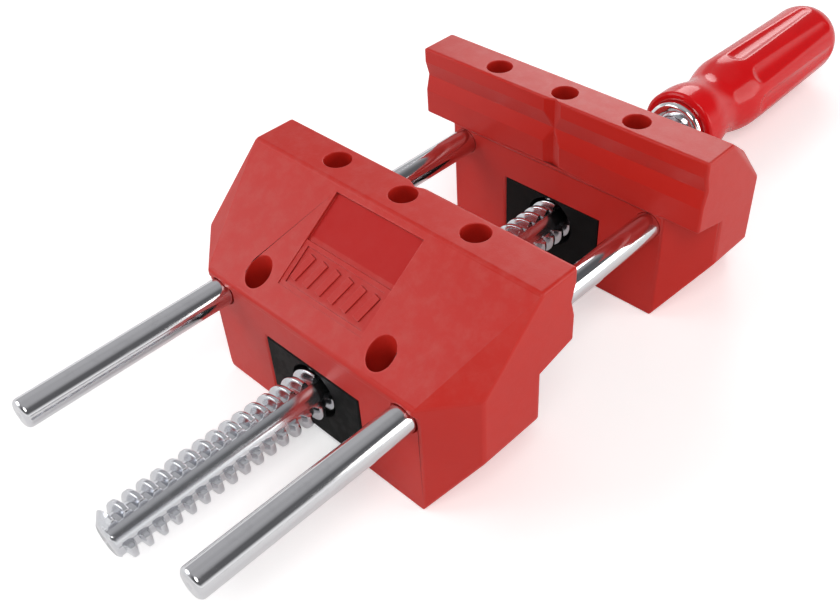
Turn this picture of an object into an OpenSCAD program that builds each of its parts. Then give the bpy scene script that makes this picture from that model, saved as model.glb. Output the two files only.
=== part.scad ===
// Twin-rod bench vise: a fixed jaw with two guide rods, a jaw that slides on them,
// and an in-line handle that turns the spindle. Y runs along the rods, towards the handle.
// The base plane is z = 0, and the origin is under the middle of the whole vise.

/* [Jaws] */
// Width of both jaws across X
jaw_w = 100; // [90:1:120]
// Height of both jaws above the base
jaw_h = 58; // [56:1:64]
// Depth of a jaw along Y, from its clamping face to its lip
jaw_d = 42.5; // [40:0.5:48]
// Depth of the flat top behind the clamping face
top_d = 12; // [11:0.5:14]
// Height of the clamping face
face_h = 22; // [20:0.5:22]
// Height of the lip below the sloping face
lip_z = 36.5; // [36:0.5:38]
// Distance from the clamping face to the rear corner of the sliding jaw's end face
slide_shoulder = 32; // [26:0.5:34]
// Distance from the clamping face to the rear corner of the fixed jaw's end face
fixed_shoulder = 29; // [26:0.5:34]
// Opening between the clamping faces as drawn
opening = 53; // [20:1:90]

/* [Holes] */
// Diameter of the peg holes in the top
peg_dia = 7.6; // [6:0.1:7.8]
// Spacing of the three peg holes
peg_pitch = 24.2; // [22:0.1:26]
// Depth of the peg holes
peg_depth = 18; // [10:1:20]
// Diameter of the two fixing holes through each jaw
fix_dia = 7.6; // [5:0.1:7.6]
// Spacing of the two fixing holes
fix_pitch = 45.2; // [45:0.1:46]

/* [Guide rods] */
// Diameter of the guide rods
rod_dia = 8; // [7:0.5:8]
// Spacing of the guide rods
rod_pitch = 68; // [66:0.5:70]
// Height of the guide rods above the base
rod_z = 31; // [30.5:0.1:31]
// Reach of the guide rods ahead of the fixed clamping face
rod_reach = 154.5; // [140:0.5:180]

/* [Spindle] */
// Outer diameter of the spindle thread
spindle_dia = 14; // [12:0.5:14]
// Pitch of the spindle thread
pitch = 4; // [3:0.5:4]
// Height of the spindle above the base
spindle_z = 16; // [15.5:0.1:16]
// Reach of the spindle ahead of the fixed clamping face
spindle_reach = 156.5; // [142:0.5:182]
// Direction that the first spindle flute faces, from +X towards +Z
flute_angle = 43; // [0:1:90]

/* [Handle] */
// Distance from the fixed clamping face to the front of the ferrule
ferrule_y = 66.5; // [66:0.5:80]
// Length of the ferrule
ferrule_len = 12; // [10:1:14]
// Length of the ferrule that stands out of the grip
ferrule_out = 3; // [2:0.5:6]
// Diameter of the ferrule
ferrule_dia = 20.8; // [18:0.2:22]
// Length of the grip
grip_len = 94.5; // [80:0.5:110]
// Largest diameter of the grip
grip_dia = 28; // [26:0.5:28]
// Number of flutes around the grip
grip_flutes = 8; // [6:1:10]

/* [Hidden] */
$fn = 64;
e = 0.01;

// Places along Y: the fixed clamping face, and the sliding clamping face
grip_y = ferrule_y + ferrule_out;
handle_reach = grip_y + grip_len;
fixed_y = (spindle_reach - handle_reach) / 2;
slide_y = fixed_y - opening;

// Jaw outline. A jaw is drawn with its clamping face at y = 0 and its body towards -Y.
face_relief = 0.8;        // setback of the faces below the clamping face and below the lip
flat_w = 76;              // width of those set-back faces, between the corner chamfers
under_back = 12.5;        // where the overhanging ends of the clamping bar meet the body
under_drop = 3;           // fall of the overhang's underside
side_z = 18.5;            // height at which the sides start to taper down to the feet
shoulder_z = 39.5;        // height of the corner where slope, end face and chamfer meet
lip_t = 2;                // thickness of the lip
slope_angle = atan((jaw_h - lip_z) / (jaw_d - top_d));
arch_w = 35;              // width of the arch that holds the spindle block
arch_z = 24.5;            // height of that arch
groove_w = 9.8;           // horizontal V groove in the clamping face
groove_z = jaw_h - 9.3;
cross_w = 6;              // upright V groove in the clamping face
groove_t = 1.3;           // depth of both grooves
fix_y = 36.8;             // fixing holes, behind the clamping face
peg_y = 5.6;              // peg holes, behind the clamping face
core_x = 31.5;            // cored pockets under the feet
core_size = [7, 9, 14];
core_ys = [12.5, 29.5];

// Raised panel on the slope: a smooth field above a framed field of slanted bars
panel_w = 30.6;
panel_top = 2.7;
panel_len = 27.3;
panel_split = 14;
panel_t = 0.9;
bar_count = 6;
bar_lean = 14;

// Guide rods, bushes and pins
rod_r = rod_dia / 2;
run_gap = 0.05;           // radial running clearance
rod_seat = 34;            // length of rod inside the fixed jaw
bush_r = 4.8;
bush_in = 33;             // inner end of a guide bush, behind the clamping face
rod_pin_r = 1.5;
rod_pin_y = 21;
rod_pin_z = [20, 34];

// Spindle block and what it holds
block_z = 1.5;
bearing_r = 8;            // bore of both blocks
nut_size = [21, 17, 17];
nut_y = 22;
thread_gap = 0.1;
screw_r = 2;
head_r = 3.8;
screw_z = [block_z, 33];
screw_x = 12.6;
screw_ys = [7.5, 35];

// Spindle stations, measured from the fixed clamping face
spindle_r = spindle_dia / 2;
root_r = spindle_r - 2.1;
land_r = root_r - 0.2;    // smooth land at the bottom of a flute
flute_half = 30;          // half of the angle that a flute takes
journal_r = 6;
tang_r = 5;
thread_end = 7;
ring_y = 8.9;
ring_t = 1;
ring_r = 5.3;
bush_y = ring_y + ring_t;
back_y = jaw_d - face_relief;
washer_t = 2;
collar_y = back_y + washer_t + run_gap;
collar_len = 10;
collar_r = 10;
tang_y = collar_y + collar_len;
tang_end = ferrule_y + 48;
pin_r = 1.5;

// Grip outline, as [distance under its largest radius, distance from its front face]: a collar, a
// narrow neck, the fluted body and a dome
grip_r = grip_dia / 2;
dome_r = 12;
dome_drop = 0.8;
grip_outline = [
    [1.4, 0], [0.6, 1], [0.6, 7], [1.1, 10], [2.1, 14], [2.7, 17.5], [2.7, 20.5], [1.7, 24],
    [0.6, 28], [0.1, 32], [0, 36], [0.4, 60]
];
flute_r = 7;
flute_depth = 1.3;
flute_ends = [35, grip_len - 13];

// Puts children on a line along Y at height z, starting at y
module along_y(x, y, z) {
    translate([x, y, z]) rotate([-90, 0, 0]) children();
}

// Profile in Y and Z, drawn out along X and centred on x = 0
module across_x(width) {
    rotate([90, 0, 90]) linear_extrude(width, center = true) children();
}

// Places children on a jaw's slope: -Y runs down it, +Z stands out of it
module on_slope() {
    translate([0, -top_d, jaw_h]) rotate([slope_angle, 0, 0]) children();
}

module both_sides() {
    children();
    mirror([1, 0, 0]) children();
}

// Side view of a jaw
module side_profile() {
    polygon([
        [0, jaw_h], [0, jaw_h - face_h], [-face_relief, jaw_h - face_h - face_relief],
        [-face_relief, 0], [-back_y, 0], [-back_y, lip_z - lip_t - face_relief],
        [-jaw_d, lip_z - lip_t], [-jaw_d, lip_z], [-top_d, jaw_h]
    ]);
}

// Top view of a jaw. front_w is its width at the clamping face.
module plan(front_w, shoulder) {
    polygon([
        [front_w / 2, 0], [jaw_w / 2, -under_back], [jaw_w / 2, -shoulder], [flat_w / 2, -jaw_d],
        [-flat_w / 2, -jaw_d], [-jaw_w / 2, -shoulder], [-jaw_w / 2, -under_back], [-front_w / 2, 0]
    ]);
}

// Front view of a jaw, with the arch for the spindle block
module front_profile() {
    difference() {
        polygon([
            [-jaw_w / 2, jaw_h], [-jaw_w / 2, side_z], [-flat_w / 2, 0],
            [flat_w / 2, 0], [jaw_w / 2, side_z], [jaw_w / 2, jaw_h]
        ]);
        translate([-arch_w / 2, -1]) square([arch_w, arch_z + 1]);
    }
}

// Everything outside the facet between the slope and the end face
module corner_cut(shoulder) {
    v1 = [0, -(shoulder - top_d), shoulder_z - jaw_h];
    v2 = [(flat_w - jaw_w) / 2, -(jaw_d - top_d), lip_z - jaw_h];
    n = cross(v2, v1);
    translate([jaw_w / 2, -top_d, jaw_h])
        rotate([0, -atan2(n[2], norm([n[0], n[1]])), atan2(n[1], n[0])])
            translate([0, -50, -50]) cube([30, 100, 100]);
}

// Solid jaw with no holes
module jaw_blank(shoulder) {
    difference() {
        intersection() {
            across_x(jaw_w) side_profile();
            translate([0, 1, 0]) rotate([90, 0, 0]) linear_extrude(jaw_d + 2) front_profile();
            union() {
                linear_extrude(jaw_h) plan(flat_w, shoulder);
                intersection() {
                    linear_extrude(jaw_h) plan(jaw_w, shoulder);
                    across_x(jaw_w) polygon([
                        [0, jaw_h - face_h], [0, jaw_h], [-jaw_d, jaw_h],
                        [-jaw_d, jaw_h - face_h - under_drop],
                        [-under_back, jaw_h - face_h - under_drop]
                    ]);
                }
            }
        }
        both_sides() corner_cut(shoulder);
    }
}

// Shallow V grooves that grip round work lengthways and upright
module face_grooves() {
    across_x(jaw_w + 2) polygon([
        [e, groove_z + groove_w / 2], [-groove_t, groove_z], [e, groove_z - groove_w / 2]
    ]);
    translate([0, 0, jaw_h - face_h]) linear_extrude(face_h + 1)
        polygon([[-cross_w / 2, e], [0, -groove_t], [cross_w / 2, e]]);
}

module peg_holes() {
    for (i = [-1:1])
        translate([i * peg_pitch, -peg_y, jaw_h - peg_depth]) cylinder(d = peg_dia, h = peg_depth + 1);
}

module fixing_holes() {
    both_sides() translate([fix_pitch / 2, -fix_y, -1]) cylinder(d = fix_dia, h = jaw_h);
}

module core_pockets() {
    both_sides() for (y = core_ys)
        translate([core_x - core_size[0] / 2, -y - core_size[1] / 2, -1])
            cube(core_size + [0, 0, 1]);
}

// Recess in the slope, less the frame and the slanted bars that stand in its lower field
module panel() {
    low = panel_len - panel_split;
    frame = 1.4;
    step = (panel_w - 2 * frame) / bar_count;
    difference() {
        on_slope() translate([-panel_w / 2, -panel_top - panel_len, -panel_t])
            cube([panel_w, panel_len, panel_t + 1]);
        on_slope() translate([-panel_w / 2, -panel_top - panel_len, -panel_t - 1]) {
            difference() {
                translate([-e, -e, 0]) cube([panel_w + 2 * e, low, panel_t + 0.6]);
                translate([frame, frame, 0]) cube([panel_w - 2 * frame, low - 2 * frame, 3]);
            }
            for (i = [0:bar_count - 1])
                translate([frame + (i + 0.5) * step, low / 2, 0]) rotate([0, 0, -bar_lean])
                    translate([-step / 4, -low / 2 + 2.8, 0]) cube([step / 2, low - 5.6, panel_t + 0.6]);
        }
    }
}

module block_screw_holes(top) {
    both_sides() for (y = screw_ys)
        translate([screw_x, -y, 0]) cylinder(r = screw_r, h = top);
}

module jaw(shoulder) {
    difference() {
        jaw_blank(shoulder);
        face_grooves();
        peg_holes();
        fixing_holes();
        core_pockets();
        panel();
        block_screw_holes(screw_z[1]);
    }
}

// Countersunk screws with a hexagon socket, up through a block into its jaw
module block_screws() {
    both_sides() for (y = screw_ys) translate([screw_x, -y, screw_z[0]]) difference() {
        union() {
            cylinder(r1 = head_r, r2 = screw_r, h = head_r - screw_r);
            cylinder(r = screw_r, h = screw_z[1] - screw_z[0]);
        }
        translate([0, 0, -e]) cylinder(d = 3, h = 1.6, $fn = 6);
    }
}

// Moulded block that fills the arch, with its bore and screw holes
module spindle_block() {
    difference() {
        translate([-arch_w / 2, -back_y, block_z])
            cube([arch_w, back_y - face_relief, arch_z - block_z]);
        along_y(0, -jaw_d, spindle_z) cylinder(r = bearing_r, h = jaw_d);
        block_screw_holes(screw_z[1]);
        both_sides() for (y = screw_ys) translate([screw_x, -y, block_z])
            cylinder(r1 = head_r, r2 = screw_r, h = head_r - screw_r);
    }
}

module nut_blank() {
    translate([-nut_size[0] / 2, -nut_y - nut_size[1] / 2, arch_z - nut_size[2]])
        cube(nut_size);
}

module guide_rod(x) {
    seat = fixed_y + rod_seat;
    back_taper = 0.8;
    along_y(x, seat - rod_seat - rod_reach, rod_z) {
        cylinder(r1 = rod_r - back_taper, r2 = rod_r, h = back_taper);
        translate([0, 0, back_taper]) cylinder(r = rod_r, h = rod_reach + rod_seat - back_taper);
    }
}

module rear_jaw() {
    color([0.75, 0.2, 0.17]) translate([0, fixed_y, 0]) difference() {
        mirror([0, 1, 0]) jaw(fixed_shoulder);
        both_sides() {
            along_y(rod_pitch / 2, -1, rod_z) cylinder(r = rod_r, h = rod_seat + 1);
            translate([rod_pitch / 2, rod_pin_y, -1]) cylinder(r = rod_pin_r, h = rod_pin_z[1] + 1);
        }
    }
}

module guide_rod_with_pin_hole(side) {
    difference() {
        guide_rod(side * rod_pitch / 2);
        translate([side * rod_pitch / 2, fixed_y + rod_pin_y, 0])
            cylinder(r = rod_pin_r, h = rod_pin_z[1]);
    }
}

module guide_rod_left() {
    color([0.8, 0.8, 0.82]) guide_rod_with_pin_hole(-1);
}

module guide_rod_right() {
    color([0.8, 0.8, 0.82]) guide_rod_with_pin_hole(1);
}

module rod_pins() {
    color([0.45, 0.45, 0.47]) both_sides()
        translate([rod_pitch / 2, fixed_y + rod_pin_y, rod_pin_z[0]])
            cylinder(r = rod_pin_r, h = rod_pin_z[1] - rod_pin_z[0]);
}

module thrust_block() {
    color([0.1, 0.1, 0.1]) translate([0, fixed_y, 0]) mirror([0, 1, 0]) spindle_block();
}

module thrust_block_screws() {
    color([0.55, 0.55, 0.57]) translate([0, fixed_y, 0]) mirror([0, 1, 0]) block_screws();
}

module spindle_bush() {
    color([0.72, 0.55, 0.3]) along_y(0, fixed_y + bush_y, spindle_z) difference() {
        cylinder(r = bearing_r, h = back_y - bush_y);
        translate([0, 0, -1]) cylinder(r = journal_r + run_gap, h = jaw_d);
    }
}

module thrust_washer() {
    color([0.7, 0.7, 0.72]) along_y(0, fixed_y + back_y, spindle_z) difference() {
        cylinder(r = collar_r + 1, h = washer_t);
        translate([0, 0, -1]) cylinder(r = journal_r + run_gap, h = washer_t + 2);
    }
}

module front_jaw() {
    color([0.75, 0.2, 0.17]) translate([0, slide_y, 0]) difference() {
        jaw(slide_shoulder);
        both_sides() {
            along_y(rod_pitch / 2, -jaw_d - 1, rod_z) cylinder(r = rod_r + 0.3, h = jaw_d + 2);
            along_y(rod_pitch / 2, -bush_in, rod_z) cylinder(r = bush_r, h = bush_in + 1);
        }
    }
}

module guide_bush(side) {
    along_y(side * rod_pitch / 2, slide_y - bush_in, rod_z) difference() {
        cylinder(r = bush_r, h = bush_in - face_relief);
        translate([0, 0, -1]) cylinder(r = rod_r + run_gap, h = bush_in + 2);
    }
}

module guide_bush_left() {
    color([0.72, 0.55, 0.3]) guide_bush(-1);
}

module guide_bush_right() {
    color([0.72, 0.55, 0.3]) guide_bush(1);
}

module nut_block() {
    color([0.1, 0.1, 0.1]) translate([0, slide_y, 0]) difference() {
        spindle_block();
        nut_blank();
    }
}

module thread_nut() {
    color([0.6, 0.6, 0.62]) translate([0, slide_y, 0]) difference() {
        nut_blank();
        along_y(0, -jaw_d, spindle_z) cylinder(r = spindle_r + thread_gap, h = jaw_d);
    }
}

module nut_block_screws() {
    color([0.55, 0.55, 0.57]) translate([0, slide_y, 0]) block_screws();
}

// Half outline of the spindle, as [radius, distance from its tip]. Each tooth is a trapezoid.
function tooth(i) = [
    [root_r, 1.5 + i * pitch], [spindle_r, 1.5 + (i + 0.22) * pitch],
    [spindle_r, 1.5 + (i + 0.5) * pitch], [root_r, 1.5 + (i + 0.72) * pitch]
];

module spindle_outline() {
    tip = -spindle_reach;
    teeth = floor((thread_end - tip - 2) / pitch);
    groove_end = ring_y + ring_t + run_gap;
    polygon(concat(
        [[0, 0], [root_r - 1, 0], [root_r, 1]],
        [for (i = [0:teeth - 1]) each tooth(i)],
        [
            [root_r, thread_end - tip], [journal_r, thread_end - tip],
            [journal_r, ring_y - tip], [ring_r, ring_y - tip],
            [ring_r, groove_end - tip], [journal_r, groove_end - tip],
            [journal_r, ferrule_y - tip], [tang_r, ferrule_y - tip],
            [tang_r, tang_end - tip], [0, tang_end - tip]
        ]
    ));
}

// One flute along the thread, opening towards +X: a sector cut down to a smooth round land
module spindle_flute() {
    far = spindle_dia;
    linear_extrude(spindle_reach + thread_end + 1) difference() {
        polygon([[0, 0], [far, far * tan(flute_half)], [far, -far * tan(flute_half)]]);
        circle(r = land_r);
    }
}

module spindle() {
    color([0.78, 0.79, 0.8]) difference() {
        along_y(0, fixed_y - spindle_reach, spindle_z) difference() {
            rotate_extrude() spindle_outline();
            translate([0, 0, -1]) for (a = [0, 180]) rotate([0, 0, a - flute_angle]) spindle_flute();
        }
        translate([0, fixed_y + collar_y + collar_len / 2, spindle_z])
            cylinder(r = pin_r, h = 4 * journal_r, center = true);
        translate([0, fixed_y + ferrule_y + ferrule_len / 2, spindle_z])
            cylinder(r = pin_r, h = 4 * journal_r, center = true);
    }
}

module retaining_ring() {
    color([0.3, 0.3, 0.32]) along_y(0, fixed_y + ring_y, spindle_z) difference() {
        cylinder(r = bearing_r - 0.3, h = ring_t);
        translate([0, 0, -1]) cylinder(r = ring_r, h = ring_t + 2);
        translate([0, -1.5, -1]) cube([bearing_r, 3, ring_t + 2]);
    }
}

module thrust_collar() {
    color([0.7, 0.7, 0.72]) along_y(0, fixed_y + collar_y, spindle_z) difference() {
        cylinder(r = collar_r, h = collar_len);
        translate([0, 0, -1]) cylinder(r = journal_r, h = collar_len + 2);
        translate([0, 0, collar_len / 2]) rotate([90, 0, 0])
            cylinder(r = pin_r, h = 4 * collar_r, center = true);
    }
}

module collar_pin() {
    color([0.45, 0.45, 0.47]) translate([0, fixed_y + collar_y + collar_len / 2, spindle_z])
        cylinder(r = pin_r, h = 2 * collar_r - 1, center = true);
}

module ferrule() {
    edge = 2;
    color([0.85, 0.87, 0.88]) along_y(0, fixed_y + ferrule_y, spindle_z) difference() {
        rotate_extrude() polygon(concat(
            [[0, 0]],
            [for (a = [0:15:90]) [ferrule_dia / 2 - edge + edge * sin(a), edge - edge * cos(a)]],
            [[ferrule_dia / 2, ferrule_len], [0, ferrule_len]]
        ));
        translate([0, 0, -1]) cylinder(r = tang_r, h = ferrule_len + 2);
        translate([0, 0, ferrule_len / 2]) rotate([90, 0, 0])
            cylinder(r = pin_r, h = 2 * ferrule_dia, center = true);
    }
}

module grip_blank() {
    body_end = grip_len - dome_r;
    end_r = grip_r - dome_drop;
    rotate_extrude() polygon(concat(
        [[0, 0]],
        [for (corner = grip_outline) [grip_r - corner[0], corner[1]]],
        [for (a = [0:15:90]) [end_r - dome_r + dome_r * cos(a), body_end + dome_r * sin(a)]],
        [[0, grip_len]]
    ));
}

module handle_grip() {
    reach = grip_r + flute_r - flute_depth;
    color([0.72, 0.05, 0.08]) along_y(0, fixed_y + grip_y, spindle_z) difference() {
        grip_blank();
        translate([0, 0, -1]) cylinder(r = ferrule_dia / 2, h = ferrule_len - ferrule_out + 1);
        translate([0, 0, -1]) cylinder(r = tang_r, h = tang_end - grip_y + 1);
        for (i = [0:grip_flutes - 1]) rotate([0, 0, i * 360 / grip_flutes])
            translate([reach, 0, flute_ends[0]]) {
                cylinder(r = flute_r, h = flute_ends[1] - flute_ends[0]);
                sphere(r = flute_r);
                translate([0, 0, flute_ends[1] - flute_ends[0]]) sphere(r = flute_r);
            }
    }
}

module handle_pin() {
    color([0.45, 0.45, 0.47]) translate([0, fixed_y + ferrule_y + ferrule_len / 2, spindle_z])
        cylinder(r = pin_r, h = ferrule_dia - 1, center = true);
}

rear_jaw();
guide_rod_left();
guide_rod_right();
rod_pins();
thrust_block();
thrust_block_screws();
spindle_bush();
thrust_washer();
front_jaw();
guide_bush_left();
guide_bush_right();
nut_block();
thread_nut();
nut_block_screws();
spindle();
retaining_ring();
thrust_collar();
collar_pin();
ferrule();
handle_grip();
handle_pin();
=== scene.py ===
import math

import bmesh
import bpy
import numpy as np
from mathutils import Matrix, Vector


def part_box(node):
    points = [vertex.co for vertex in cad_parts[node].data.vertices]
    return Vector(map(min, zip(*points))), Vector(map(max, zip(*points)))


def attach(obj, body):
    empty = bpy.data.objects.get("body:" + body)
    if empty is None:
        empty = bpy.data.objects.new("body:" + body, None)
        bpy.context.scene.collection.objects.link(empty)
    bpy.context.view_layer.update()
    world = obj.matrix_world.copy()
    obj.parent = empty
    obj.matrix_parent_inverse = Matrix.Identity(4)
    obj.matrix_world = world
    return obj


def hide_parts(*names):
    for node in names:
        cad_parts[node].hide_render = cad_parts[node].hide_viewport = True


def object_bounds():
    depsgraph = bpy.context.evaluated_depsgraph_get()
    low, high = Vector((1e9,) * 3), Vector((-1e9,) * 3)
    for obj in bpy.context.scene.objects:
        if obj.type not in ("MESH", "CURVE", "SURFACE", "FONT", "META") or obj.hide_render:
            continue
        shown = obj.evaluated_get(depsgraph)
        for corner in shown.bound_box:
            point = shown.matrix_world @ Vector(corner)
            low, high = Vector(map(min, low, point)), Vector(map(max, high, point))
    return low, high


bl_info = {
    "name": "Twin-rod bench vise",
    "version": (1, 0, 0),
    "blender": (4, 5, 0),
    "location": "View3D > Sidebar > Vise",
    "description": "Builds the moulded jaws, rods, spindle and handle of a small bench vise",
    "category": "Add Mesh",
}

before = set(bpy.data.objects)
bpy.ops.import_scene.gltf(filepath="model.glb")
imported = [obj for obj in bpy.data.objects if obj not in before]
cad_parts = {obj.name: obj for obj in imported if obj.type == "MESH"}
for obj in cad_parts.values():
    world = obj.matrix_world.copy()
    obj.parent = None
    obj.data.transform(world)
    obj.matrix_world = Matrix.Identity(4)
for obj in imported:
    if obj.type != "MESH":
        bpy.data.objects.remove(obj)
CAD_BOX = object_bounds()

FIXED, SLIDING, TURNING = "fixed_jaw", "sliding_jaw", "spindle_set"
MM = 0.001

SHARP_CORNER = math.radians(24)    # corners sharper than this are rounded or crisp
SLIGHT_CORNER = math.radians(4)    # flatter corners than this are shaded smoothly
HOLE_FACET = 1.5 * MM              # a facet of a round hole is narrower than this
EDGE_SHARE = 0.4                   # most of a neighbouring edge that a rounding may take
JOIN = 1e-6                        # points nearer than this are one point
CREASE = math.radians(50)          # turned parts are shaded smoothly below this
THREAD_CREASE = math.radians(38)   # and the thread below this

# Where the jaws' features lie, measured back from the clamping face, down from the top and out from
# the middle
TOP_DEPTH = 12 * MM
SLOPE_FALL = 21.5 / 30.5
PANEL_HALF, PANEL_END = 16 * MM, 38 * MM
FACE_HALF, FACE_DROP = 49 * MM, 21 * MM
PEG_RIM, RIM_FACET, RIM_EDGE = 4.5 * MM, 2.6 * MM, 0.15 * MM


# ---------------------------------------------------------------- sizes and colours

def length(name, description, default, low, high):
    """A length that the panel shows in scene units."""
    return bpy.props.FloatProperty(name=name, description=description, default=default, min=low,
                                   max=high, subtype="DISTANCE", unit="LENGTH")


def angle(name, description, degrees, low=-math.pi, high=math.pi):
    """An angle that the panel shows in degrees."""
    return bpy.props.FloatProperty(name=name, description=description, default=math.radians(degrees),
                                   min=low, max=high, subtype="ANGLE", unit="ROTATION")


def colour(name, description, default):
    """A colour from 0 to 1."""
    return bpy.props.FloatVectorProperty(name=name, description=description, default=default, size=3,
                                         min=0.0, max=1.0, subtype="COLOR")


class ViseSizes(bpy.types.PropertyGroup):
    jaw_edge: length("Jaw edge", "Rounding of the jaws' outer edges", 0.9 * MM, 0.0, 2 * MM)
    hole_edge: length("Hole edge", "Rounding of hole rims and grooves", 0.35 * MM, 0.0, MM)
    panel_edge: length("Panel edge", "Rounding of the panel's small relief", 0.22 * MM, 0.0, MM)
    block_edge: length("Block edge", "Rounding of the black blocks' edges", 0.5 * MM, 0.0, MM)
    pitch: length("Thread pitch", "Travel of the jaw in one turn", 4 * MM, 2 * MM, 6 * MM)
    thread_depth: length("Thread depth", "Height of a tooth above its root", 2.1 * MM, MM, 3 * MM)
    spindle_land: length("Spindle land", "Radius of the smooth land at a flute's bottom", 4.7 * MM,
                         3 * MM, 6 * MM)
    spindle_flute_half: angle("Flute half angle", "Half of the angle that a spindle flute takes", 30,
                              0.0, math.pi / 4)
    spindle_flute_angle: angle("Flute direction", "Direction of the first flute, from +Z towards +X",
                               47, 0.0)
    grip_flutes: bpy.props.IntProperty(
        name="Grip flutes", description="Number of hollows round the grip", default=8, min=6, max=12)
    grip_flute_depth: length("Grip flute depth", "Depth of a hollow in the grip", 1.3 * MM, 0.0, 2 * MM)


class ViseColours(bpy.types.PropertyGroup):
    jaw_red: colour("Jaw red", "Colour of the moulded jaws", (0.53, 0.018, 0.011))
    grip_red: colour("Grip red", "Colour of the glossy grip", (0.62, 0.006, 0.008))
    block_black: colour("Block black", "Colour of the spindle blocks", (0.006, 0.006, 0.006))
    rod_steel: colour("Rod steel", "Colour of the ground guide rods", (0.74, 0.74, 0.76))
    spindle_steel: colour("Spindle steel", "Colour of the rolled spindle", (0.70, 0.71, 0.74))
    bronze: colour("Bush bronze", "Colour of the sintered bushes", (0.55, 0.36, 0.16))
    dust: colour("Dust", "Colour of the light dust on upper faces", (0.62, 0.55, 0.50))


class ViseStage(bpy.types.PropertyGroup):
    camera_azimuth: angle("Camera azimuth", "Camera's bearing, from -Y towards +X", 47.05)
    camera_elevation: angle("Camera elevation", "Camera's height above the horizon", 41.33)
    camera_roll: angle("Camera roll", "Turn of the camera about its own view", -4.01)
    camera_place: bpy.props.FloatVectorProperty(
        name="Camera place", description="Where the camera stands", default=(0.1506, -0.19945, 0.2001),
        size=3, subtype="TRANSLATION", unit="LENGTH")
    lens: bpy.props.FloatProperty(
        name="Lens", description="Focal length on a 36 mm sensor, in millimetres", default=42.75,
        min=10.0, max=200.0)
    floor: colour("Floor", "Colour of the pale floor", (0.90, 0.90, 0.90))


# ---------------------------------------------------------------- mesh code

def mesh_piece(name, points, faces, body):
    """Makes an object at the origin from arrays of points and faces, and lets it ride on a body."""
    mesh = bpy.data.meshes.new(name)
    mesh.from_pydata(points.tolist(), [], faces)
    mesh.update()
    mesh.shade_smooth()
    piece = bpy.data.objects.new(name, mesh)
    bpy.context.scene.collection.objects.link(piece)
    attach(piece, body)
    return piece


def rounded_outline(corners, steps=5):
    """An outline as (distance along the axis, radius) whose corners are rounded.

    Each corner is (along, radius, rounding). A rounded corner is the quadratic curve that starts
    and ends at the given distance from the corner along its two sides, with the corner as its
    middle control point."""
    rows = []
    for i, (y, r, cut) in enumerate(corners):
        here = np.array([y, r])
        if cut == 0 or i in (0, len(corners) - 1):
            rows.append(here[None])
            continue
        before = np.array(corners[i - 1][:2]) - here
        after = np.array(corners[i + 1][:2]) - here
        a = here + before / np.linalg.norm(before) * cut
        b = here + after / np.linalg.norm(after) * cut
        t = np.linspace(0, 1, steps)[:, None]
        rows.append((1 - t) ** 2 * a + 2 * t * (1 - t) * here + t ** 2 * b)
    return np.vstack(rows)


def revolve(outline, centre, columns=72):
    """A surface of revolution about a line along Y.

    The point at outline row (y, r) and angle a is (cx + r sin a, y, cz + r cos a). A row with no
    radius is one point, and its neighbours close on it in a fan."""
    y, r = outline[:, 0], outline[:, 1]
    a = np.linspace(0, 2 * math.pi, columns, endpoint=False)
    grid = np.stack([
        centre[0] + np.outer(r, np.sin(a)),
        np.repeat(y[:, None], columns, 1),
        centre[1] + np.outer(r, np.cos(a)),
    ], -1)
    return close_grid(grid, r)


def close_grid(grid, r):
    """Points and faces of a grid that closes round its columns, with a fan at each end of no radius.

    Rows run towards +Y and columns turn from +Z towards +X, so the faces point outwards."""
    rows, columns = grid.shape[:2]
    first = 1 if r[0] < 1e-9 else 0
    last = rows - 1 if r[-1] < 1e-9 else rows
    body = grid[first:last].reshape(-1, 3)
    n = last - first
    i = np.arange(n - 1)[:, None] * columns
    j = np.arange(columns)[None]
    k = (j + 1) % columns
    faces = np.stack([i + j, i + k, i + columns + k, i + columns + j], -1).reshape(-1, 4).tolist()
    points = [body]
    j, k = j[0], k[0]
    if first:
        points.append(grid[0, :1])
        tip = len(body)
        faces += np.stack([k, j, np.full(columns, tip)], -1).tolist()
    if last < rows:
        points.append(grid[-1, :1])
        tip = len(body) + first
        base = (n - 1) * columns
        faces += np.stack([base + j, base + k, np.full(columns, tip)], -1).tolist()
    return np.vstack(points), faces


def wall_ring(outline, centre, columns=72):
    """A ring turned from a closed outline of (y, r) rows, joined from its last row to its first."""
    points, faces = revolve(outline, centre, columns)
    n = len(outline)
    j = np.arange(columns)
    k = (j + 1) % columns
    base = (n - 1) * columns
    faces += np.stack([base + j, base + k, k, j], -1).tolist()
    return points, faces


def turned(name, corners, centre, body, material, steps=5, columns=72, ring=False):
    """A turned part. Corners are (y, r, rounding); a ring's outline runs round it and closes."""
    if ring:
        wrapped = [corners[-1]] + list(corners) + [corners[0]]
        outline = rounded_outline(wrapped, steps)[1:-1]
        points, faces = wall_ring(outline, centre, columns)
    else:
        points, faces = revolve(rounded_outline(corners, steps), centre, columns)
    piece = mesh_piece(name, points, faces, body)
    recalculated(piece)
    piece.data.set_sharp_from_angle(angle=CREASE)
    piece.data.materials.append(material)
    return piece


def recalculated(piece):
    """Turns every face of a closed mesh outwards."""
    bm = bmesh.new()
    bm.from_mesh(piece.data)
    bmesh.ops.recalc_face_normals(bm, faces=bm.faces[:])
    bm.to_mesh(piece.data)
    bm.free()
    piece.data.update()


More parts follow.
